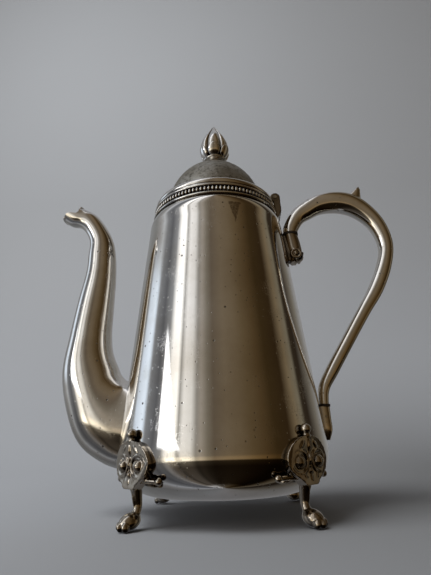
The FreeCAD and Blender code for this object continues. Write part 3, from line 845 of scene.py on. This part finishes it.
def make_foot():
    shield = make_shield()
    flat = [shield]
    for side in (-1, 1):
        y = side * 6.3
        flat.append(ring_roll((57.3, y, 26.4), 4.7, 0.75, (0, math.pi / 2, 0)))
        flat.append(blob((57.0, y, 26.4), (2.6, 2.9, 2.9)))
        flat.append(blob((57.0, side * 4.4, 33.6), (1.3, 1.2, 3.3), (side * 0.75, 0, 0)))
        flat.append(blob((56.8, side * 8.2, 32.2), (1.1, 0.9, 2.2), (side * 1.05, 0, 0)))
        flat.append(blob((56.8, side * 3.6, 20.2), (1.2, 0.9, 3.2), (side * -0.5, 0, 0)))
    flat.append(blob((57.1, 0, 33.8), (1.4, 1.0, 3.2)))
    flat.append(blob((57.3, 0, 27.6), (1.3, 0.8, 2.6)))
    flat.append(blob((57.3, 0, 22.8), (1.2, 1.2, 1.3)))
    flat.append(blob((57.0, 0, 19.6), (1.2, 0.8, 2.0)))
    plate = joined("plate", flat)
    bend_to_belly(plate)
    parts = [plate]
    parts.append(blob((56.6, 0, 40.1), (2.6, 2.4, 2.4)))
    parts.append(blob((56.7, 0, 37.2), (1.9, 2.0, 1.5)))
    for side in (-1, 1):
        a = math.radians(17.0)
        ball = Vector((54.6 * math.cos(a), side * 54.6 * math.sin(a), 20.2))
        parts.append(blob(ball, (1.7, 1.7, 1.7)))
        parts.append(peg(Vector((55.2, side * 5.0, 20.6)), ball, 1.5, 1.0))
    parts.append(tube("leg", level_rings([
        (54.6, 22.0, 2.6, 4.4),
        (53.9, 18.0, 2.7, 3.6),
        (52.9, 13.6, 2.3, 2.4),
        (52.3, 9.6, 2.0, 1.7),
        (53.6, 6.4, 2.3, 2.2),
        (55.6, 3.8, 2.9, 3.0),
    ], 4), 24))
    parts.append(blob((54.9, 0, 14.6), (0.9, 0.7, 6.0), (0, math.radians(8), 0)))
    parts.append(blob((56.2, 0, 3.9), (5.3, 3.9, 3.6), (0, math.radians(12), 0)))
    for y, out in ((-2.5, 59.7), (0.0, 60.7), (2.5, 59.7)):
        parts.append(blob((out, y, 2.2), (1.9, 1.25, 2.0)))
    foot = joined("foot", parts)
    apply_modifier(foot, "REMESH", mode="VOXEL", voxel_size=0.36 * MM)
    apply_modifier(foot, "SMOOTH", factor=0.5, iterations=1)
    carve(foot, blank, keep_cutter=True)
    bpy.ops.object.mode_set(mode="EDIT")
    bpy.ops.mesh.select_all(action="SELECT")
    bpy.ops.mesh.bisect(plane_co=(0, 0, 0.00002), plane_no=(0, 0, 1), clear_inner=True, use_fill=True)
    bpy.ops.object.mode_set(mode="OBJECT")
    bpy.ops.object.shade_smooth_by_angle(angle=math.radians(60))
    return foot


foot_pattern = make_foot()
for node, degrees in FOOT_CORNERS.items():
    foot = foot_pattern.copy()
    foot.data = foot_pattern.data.copy()
    foot.name = node + "_cast"
    foot.data.name = foot.name
    bpy.context.scene.collection.objects.link(foot)
    foot.data.transform(Matrix.Rotation(math.radians(degrees), 4, "Z"))
    dress(foot, cast_silver, "pot", "silver_plate", node)
bpy.data.objects.remove(foot_pattern)
bpy.data.objects.remove(blank)

# --------------------------------------------------------------------- the lid

flange = turned("lid_rim", [
    (DOME_R - DOME_WALL, LID_Z), (FLANGE_R - 0.2, LID_Z), (FLANGE_R, LID_Z + 0.5),
    *arc((FLANGE_R, LID_Z + 0.5), (FLANGE_R - 0.6, LID_Z + 2.6), (FLANGE_R - 2.6, LID_Z + 3.9), 10),
    *arc((FLANGE_R - 2.6, LID_Z + 3.9), (34.2, 180.0), (32.3, 180.2), 5),
    (DOME_R, LID_Z + 4.5), (DOME_R, DOME_Z), (DOME_R - DOME_WALL, DOME_Z),
], 256, 40)
notch = peg(Vector((HINGE_X, -8.5, HINGE_Z)), Vector((HINGE_X, 8.5, HINGE_Z)), KNUCKLE_R + 0.45, sides=48)
carve(flange, notch)
bpy.ops.object.shade_smooth_by_angle(angle=math.radians(40))
dress(flange, trim_silver, "lid", "silver_plate", "lid_flange")


def dome_curve(radius, height, steps):
    points = []
    for k in range(steps + 1):
        a = math.pi / 2 * k / steps
        points.append((radius * math.cos(a), DOME_Z + height * math.sin(a)))
    points[-1] = (0.0, DOME_Z + height)
    return points


dome = turned(
    "dome",
    dome_curve(DOME_R, DOME_H, 28) + dome_curve(DOME_R - DOME_WALL, DOME_H - DOME_WALL, 20)[::-1],
    192, 50,
)
dress(dome, dome_plate, "lid", "silver_plate_worn", "lid_dome")

collar = turned("finial_neck", [
    (0, DOME_TOP - 1.0), (6.4, DOME_TOP - 1.0), (6.3, DOME_TOP + 0.3),
    *arc((6.3, DOME_TOP + 0.3), (4.9, DOME_TOP + 2.0), (5.6, DOME_TOP + 3.9), 8),
    (7.3, DOME_TOP + 4.2),
    *arc((7.3, DOME_TOP + 4.2), (7.95, DOME_TOP + 5.0), (7.3, DOME_TOP + 5.8), 8),
    (0, DOME_TOP + 5.8),
], 64, 40, shift=FINIAL_SHIFT, loop=False)
dress(collar, trim_silver, "lid", "silver_plate", "finial_collar")

BUD_R = 9.9
PETALS = 6
BUD_SIDES = 96


def press_valleys(piece, depth, sharpness):
    """Draw the mesh in along upright lines between petals."""
    for vertex in piece.data.vertices:
        x = vertex.co.x - FINIAL_SHIFT * MM
        around = math.atan2(vertex.co.y, x) * PETALS / (2 * math.pi)
        off = abs(around - round(around)) * 2
        squeeze = 1 - depth * (1 - off) ** sharpness
        vertex.co.x = FINIAL_SHIFT * MM + x * squeeze
        vertex.co.y *= squeeze


bud_profile = [
    (0.50, 0.0), (0.80, 2.9), (0.985, 7.4), (0.95, 12.0),
    (0.76, 17.0), (0.48, 21.6), (0.20, 26.2), (0.04, 28.2),
]
bud_outline = [(0, BUD_Z)]
bud_outline += [(r * BUD_R, BUD_Z + z) for r, z in smoothed(bud_profile, 5)]
bud_outline.append((0, BUD_Z + 28.3))
bud = turned("bud", bud_outline, BUD_SIDES, 60, shift=FINIAL_SHIFT, loop=False)
press_valleys(bud, 0.3, 5)
dress(bud, trim_silver, "lid", "silver_plate", "finial_bud")

sepals = []
for k in range(PETALS):
    a = 2 * math.pi * (k + 0.5) / PETALS
    sepal = blob((0, 0, 0), (1.7, 4.0, 5.0))
    sepal.data.transform(Matrix.Rotation(math.radians(24), 4, "Y"))
    sepal.data.transform(Matrix.Translation(place(8.0, 0, BUD_Z + 4.0)))
    sepal.data.transform(Matrix.Rotation(a, 4, "Z"))
    sepal.data.transform(Matrix.Translation(place(FINIAL_SHIFT, 0, 0)))
    sepals.append(sepal)
calyx = joined("sepals", sepals, 60)
dress(calyx, trim_silver, "lid", "silver_plate", "finial_calyx")

# ------------------------------------------------------------------- the hinge

LID_KNUCKLE_HALF = 3.3
KNUCKLE_GAP = 0.3


def knuckle(start_y, end_y):
    """One barrel of the hinge, with a raised collar at each end."""
    start = Vector((HINGE_X, start_y, HINGE_Z))
    end = Vector((HINGE_X, end_y, HINGE_Z))
    barrel = peg(start, end, KNUCKLE_R - 0.25, sides=40)
    apply_modifier(barrel, "BEVEL", width=0.35 * MM, segments=3, limit_method="ANGLE")
    parts = [barrel]
    for y in (start_y + 0.55, end_y - 0.55):
        parts.append(ring_roll((HINGE_X, y, HINGE_Z), KNUCKLE_R - 0.55, 0.5, (math.pi / 2, 0, 0)))
    return parts


body_leaf_parts = [plate_along_y("bracket", [
    (NECK_R, BAND_Z - 1.0), (NECK_R + 1.9, BAND_Z - 1.4), (NECK_R + 3.4, BAND_Z + 0.8), (41.9, 171.4),
    (42.0, 180.0), (37.0, 180.0), (NECK_R, 174.4),
], HINGE_HALF - 0.1, 0.5)]
lid_room = peg(Vector((0, 0, 174.3)), Vector((0, 0, 186.0)), FLANGE_R + 0.35, sides=160)
carve(body_leaf_parts[0], lid_room)
middle_room = peg(
    Vector((HINGE_X, -LID_KNUCKLE_HALF - KNUCKLE_GAP, HINGE_Z)),
    Vector((HINGE_X, LID_KNUCKLE_HALF + KNUCKLE_GAP, HINGE_Z)), KNUCKLE_R + 0.5, sides=48)
carve(body_leaf_parts[0], middle_room)
body_leaf_parts += knuckle(-HINGE_HALF, -LID_KNUCKLE_HALF - KNUCKLE_GAP)
body_leaf_parts += knuckle(LID_KNUCKLE_HALF + KNUCKLE_GAP, HINGE_HALF)
for y in (-5.7, -1.9, 1.9, 5.7):
    body_leaf_parts.append(blob((41.8, y, 173.6), (0.6, 1.5, 3.6)))
body_leaf = joined("hinge_bracket", body_leaf_parts)
dress(body_leaf, hinge_silver, "pot", "silver_plate", "hinge_body_leaf")

lid_leaf_parts = knuckle(-LID_KNUCKLE_HALF, LID_KNUCKLE_HALF)
lid_leaf_parts.append(plate_along_y("tab", [
    (34.6, 179.2), (37.0, 178.2), (38.4, 180.0), (38.2, 183.2), (34.6, 183.0),
], LID_KNUCKLE_HALF - 0.1, 0.4))
lid_leaf_parts.append(plate_along_y("cross_bar", [
    (31.6, 179.0), (35.2, 179.0), (35.4, 181.4), (35.0, 183.7), (33.4, 183.6), (31.6, 181.2),
], HINGE_HALF - 0.1, 0.5))
for y in (-5.4, 0.0, 5.4):
    lid_leaf_parts.append(blob((33.4, y, 183.0), (1.7, 1.6, 0.9), (0, math.radians(-18), 0)))
lid_leaf = joined("hinge_tab", lid_leaf_parts)
dress(lid_leaf, hinge_silver, "lid", "silver_plate", "hinge_lid_leaf")

# ------------------------------------------------- CAD nodes that stay in sight

KEPT = {
    "base_plate": body_silver,
    "seat_ring": trim_silver,
    "upper_insulator": fibre,
    "lower_insulator": fibre,
    "upper_tenon": pin_metal,
    "lower_tenon": pin_metal,
    "handle_pins": pin_metal,
    "hinge_pin": pin_metal,
    "lid_bezel": body_silver,
    "finial_stud": pin_metal,
    "finial_washer": pin_metal,
    "finial_nut": pin_metal,
}
for node, material in KEPT.items():
    kept = frame["nodes"][node]
    kept.data.materials.clear()
    kept.data.materials.append(material)

# ---------------------------------------------------------- camera and its view

CAMERA_PLACE = (13.2, -245.8, 37.6)
YAW = math.radians(-3.39)
PITCH = math.radians(19.44)
ROLL = math.radians(-1.78)
LENS = 26.55


def set_camera():
    ahead = Vector((math.sin(YAW) * math.cos(PITCH), math.cos(YAW) * math.cos(PITCH), math.sin(PITCH)))
    level = Vector((math.cos(YAW), -math.sin(YAW), 0))
    upright = level.cross(ahead)
    right = level * math.cos(ROLL) + upright * math.sin(ROLL)
    up = upright * math.cos(ROLL) - level * math.sin(ROLL)
    turn = Matrix((right, up, -ahead)).transposed().to_4x4()
    data = bpy.data.cameras.new("camera")
    data.lens = LENS
    data.sensor_width = 36
    data.sensor_fit = "AUTO"
    data.clip_start = 0.01
    camera = bpy.data.objects.new("camera", data)
    bpy.context.scene.collection.objects.link(camera)
    camera.matrix_world = Matrix.Translation(place(*CAMERA_PLACE)) @ turn
    bpy.context.scene.camera = camera


set_camera()

# ----------------------------------------------------------------------- stage


def make_stage():
    """A pale floor that sweeps up far behind the pot, with painted shade: darker towards the right and the
    front.
    """
    outline = [(-1.6, 0.0), (0.3, 0.0)]
    outline += arc((0.3, 0.0), (1.007, 0.293), (1.3, 1.0), 32)
    outline.append((1.3, 2.6))
    y, z = outline[0]
    stage = open_new(bpy.ops.mesh.primitive_plane_add, size=0.001, location=(-2, y, z))
    bpy.ops.mesh.merge(type="CENTER")
    for next_y, next_z in outline[1:]:
        bpy.ops.mesh.extrude_vertices_move(TRANSFORM_OT_translate={"value": (0, next_y - y, next_z - z)})
        y, z = next_y, next_z
    bpy.ops.mesh.select_all(action="SELECT")
    bpy.ops.mesh.extrude_region_move(TRANSFORM_OT_translate={"value": (4, 0, 0)})
    close(stage, "studio_floor", 60)
    finish = Finish("stage_paint")
    across, deep, _ = finish.node("ShaderNodeSeparateXYZ", None, Vector=finish.object_place).outputs
    # Painted shade: the floor is painted darker towards the right and the front, as light falling from the
    # left would leave it, with a faint random mottle on top.
    painted_shade_and_mottle = finish.maths("MULTIPLY", finish.spread(across, -0.25, 0.3), finish.spread(deep, 1.0, 0.1))
    painted_shade_and_mottle = finish.maths("ADD", painted_shade_and_mottle, finish.maths("MULTIPLY", finish.noise(1.3), 0.1))
    colour = finish.blend(painted_shade_and_mottle, (0.38, 0.39, 0.41, 1), (0.17, 0.17, 0.17, 1))
    finish.feed(finish.shader, "Base Color", colour)
    finish.shader.inputs["Roughness"].default_value = 0.9
    finish.shader.inputs["Specular IOR Level"].default_value = 0.1
    stage.data.materials.append(finish.material)
    return stage


stage = make_stage()
stage.visible_glossy = False


# Light by bearing: degrees to the left of the camera, and red, green, blue
CARDS_BY_BEARING = [
    (-180, (0.30, 0.30, 0.31)), (-150, (0.27, 0.27, 0.27)), (-132, (0.16, 0.145, 0.12)),
    (-114, (0.025, 0.018, 0.012)), (-106, (0.03, 0.022, 0.014)), (-101, (0.17, 0.15, 0.11)),
    (-90, (0.17, 0.13, 0.08)), (-78, (0.03, 0.018, 0.008)), (-60, (0.04, 0.025, 0.01)),
    (-48, (0.075, 0.048, 0.022)), (-34, (0.11, 0.078, 0.042)), (-22, (0.145, 0.11, 0.07)),
    (-8, (0.165, 0.13, 0.09)), (6, (0.13, 0.105, 0.08)), (13, (0.20, 0.18, 0.15)),
    (20, (0.36, 0.33, 0.30)), (25, (0.30, 0.29, 0.275)), (31, (0.85, 0.85, 0.86)),
    (40, (1.0, 1.0, 1.02)), (45, (0.42, 0.42, 0.42)), (49, (1.5, 1.51, 1.54)),
    (58, (1.3, 1.31, 1.34)), (64, (0.30, 0.31, 0.33)), (76, (0.12, 0.125, 0.14)),
    (88, (0.22, 0.23, 0.25)), (97, (0.50, 0.53, 0.57)), (108, (0.32, 0.32, 0.33)),
    (122, (0.22, 0.225, 0.23)), (150, (0.26, 0.27, 0.28)), (180, (0.30, 0.30, 0.31)),
]
# What it is multiplied by at each height, in degrees, in front of the pot
FRONT_BY_HEIGHT = [
    (-90, (0.6, 0.6, 0.63)), (-84, (0.45, 0.45, 0.46)), (-76, (0.07, 0.06, 0.05)),
    (-30, (0.05, 0.04, 0.03)), (-17, (0.14, 0.12, 0.09)), (-14, (1.6, 1.45, 1.15)),
    (-9, (1.5, 1.36, 1.1)), (-5, (1.0, 0.95, 0.85)), (12, (0.95, 0.93, 0.88)),
    (30, (1.0, 1.0, 1.0)), (50, (1.05, 1.05, 1.05)), (90, (1.2, 1.2, 1.25)),
]
# The same beside and behind the pot
SIDES_BY_HEIGHT = [
    (-90, (0.6, 0.6, 0.63)), (-50, (0.5, 0.5, 0.52)), (-12, (0.65, 0.65, 0.65)),
    (0, (0.95, 0.95, 0.95)), (30, (1.0, 1.0, 1.0)), (90, (1.2, 1.2, 1.25)),
]
KEY_CARD_LIGHT = (2.6, 2.7, 2.9)
SIDE_CARD_LIGHT = (0.42, 0.52, 0.66)
SEEN_BACKGROUND = (0.27, 0.275, 0.285, 1)


def world_light():
    """Soft cards round the pot, told by bearing and height, in degrees."""
    world = bpy.data.worlds.new("room")
    world.use_nodes = True
    bpy.context.scene.world = world
    tree = world.node_tree
    tree.nodes.clear()
    room = Room(tree)
    bearing = room.bearing()
    height = room.height()
    total = room.ramp(bearing, CARDS_BY_BEARING)
    front = room.ramp(height, FRONT_BY_HEIGHT)
    sides = room.ramp(height, SIDES_BY_HEIGHT)
    ahead = room.maths("MULTIPLY", room.edge(bearing, -105, -75), room.edge(bearing, 80, 50))
    behind = room.maths("SUBTRACT", 1.0, ahead)
    shade = room.mix("ADD", room.scaled(front, ahead), room.scaled(sides, behind))
    total = room.mix("MULTIPLY", total, shade)
    leaning = room.maths("SUBTRACT", bearing, room.maths("MULTIPLY", height, 1.5))
    key_card = room.patch(bearing, 40, 69, 1.5, height, 7, 23, 1.5)
    key_card = room.maths("MULTIPLY", key_card, room.edge(leaning, 30, 34))
    total = room.mix("ADD", total, room.tinted(key_card, KEY_CARD_LIGHT))
    side_card = room.patch(bearing, 92, 112, 3, height, 5, 29, 4)
    total = room.mix("ADD", total, room.tinted(side_card, SIDE_CARD_LIGHT))
    room.finish(total)


class Room:
    """Node helpers for the world."""

    def __init__(self, tree):
        self.tree = tree
        made = tree.nodes.new("ShaderNodeTexCoord")
        split = tree.nodes.new("ShaderNodeSeparateXYZ")
        tree.links.new(made.outputs["Generated"], split.inputs[0])
        self.x, self.y, self.z = split.outputs

    def maths(self, operation, first, second=None):
        node = self.tree.nodes.new("ShaderNodeMath")
        node.operation = operation
        for socket, value in zip(node.inputs, (first, second)):
            if isinstance(value, bpy.types.NodeSocket):
                self.tree.links.new(value, socket)
            elif value is not None:
                socket.default_value = value
        return node.outputs[0]

    def bearing(self):
        """Degrees to the left of the camera's back, as seen from the pot."""
        left = self.maths("MULTIPLY", self.x, -1.0)
        back = self.maths("MULTIPLY", self.y, -1.0)
        return self.maths("DEGREES", self.maths("ARCTAN2", left, back))

    def height(self):
        return self.maths("DEGREES", self.maths("ARCSINE", self.z))

    def ramp(self, degrees, stops):
        """Colours by angle, from -180 to 180 degrees."""
        share = self.maths("MULTIPLY_ADD", degrees, 1 / 360)
        share.node.inputs[2].default_value = 0.5
        node = self.tree.nodes.new("ShaderNodeValToRGB")
        self.tree.links.new(share, node.inputs[0])
        marks = node.color_ramp.elements
        while len(marks) < len(stops):
            marks.new(0.5)
        for mark, (angle, colour) in zip(marks, stops):
            mark.position = angle / 360 + 0.5
            mark.color = (*colour, 1)
        return node.outputs[0]

    def edge(self, value, start, end):
        node = self.tree.nodes.new("ShaderNodeMapRange")
        node.interpolation_type = "SMOOTHSTEP"
        self.tree.links.new(value, node.inputs["Value"])
        node.inputs["From Min"].default_value = start
        node.inputs["From Max"].default_value = end
        return node.outputs[0]

    def patch(self, bearing, left, right, soft, height, low, high, soft_height):
        inside = self.maths("MULTIPLY", self.edge(bearing, left - soft, left + soft),
                            self.edge(bearing, right + soft, right - soft))
        upright = self.maths("MULTIPLY", self.edge(height, low - soft_height, low + soft_height),
                             self.edge(height, high + soft_height, high - soft_height))
        return self.maths("MULTIPLY", inside, upright)

    def scaled(self, colour, share):
        node = self.tree.nodes.new("ShaderNodeVectorMath")
        node.operation = "SCALE"
        self.tree.links.new(colour, node.inputs[0])
        self.tree.links.new(share, node.inputs["Scale"])
        return node.outputs[0]

    def tinted(self, mask, colour):
        node = self.tree.nodes.new("ShaderNodeVectorMath")
        node.operation = "SCALE"
        node.inputs[0].default_value = colour
        self.tree.links.new(mask, node.inputs["Scale"])
        return node.outputs[0]

    def mix(self, operation, first, second):
        node = self.tree.nodes.new("ShaderNodeVectorMath")
        node.operation = operation
        self.tree.links.new(first, node.inputs[0])
        self.tree.links.new(second, node.inputs[1])
        return node.outputs[0]

    def finish(self, colour):
        """Silver sees the room; the camera sees a plain grey."""
        sky = self.tree.nodes.new("ShaderNodeBackground")
        self.tree.links.new(colour, sky.inputs[0])
        plain = self.tree.nodes.new("ShaderNodeBackground")
        plain.inputs[0].default_value = SEEN_BACKGROUND
        path = self.tree.nodes.new("ShaderNodeLightPath")
        choose = self.tree.nodes.new("ShaderNodeMixShader")
        out = self.tree.nodes.new("ShaderNodeOutputWorld")
        self.tree.links.new(path.outputs["Is Camera Ray"], choose.inputs[0])
        self.tree.links.new(sky.outputs[0], choose.inputs[1])
        self.tree.links.new(plain.outputs[0], choose.inputs[2])
        self.tree.links.new(choose.outputs[0], out.inputs[0])


world_light()


def add_light(name, where, aim, size, power, colour):
    data = bpy.data.lights.new(name, "AREA")
    data.size = size
    data.energy = power
    data.color = colour
    light = bpy.data.objects.new(name, data)
    bpy.context.scene.collection.objects.link(light)
    light.location = where
    light.rotation_euler = (Vector(aim) - Vector(where)).to_track_quat("-Z", "Y").to_euler()
    light.visible_glossy = False
    return light


add_light("window_light", (-0.8, -0.5, 1.0), (0, 0.1, 0.08), 0.9, 3.4, (0.97, 0.98, 1.0))
add_light("backdrop_light", (-1.0, -0.5, 1.9), (0.5, 1.2, 1.0), 1.2, 34.0, (0.95, 0.98, 1.0))
bpy.context.scene.view_settings.view_transform = "Standard"
bpy.context.scene.view_settings.look = "None"
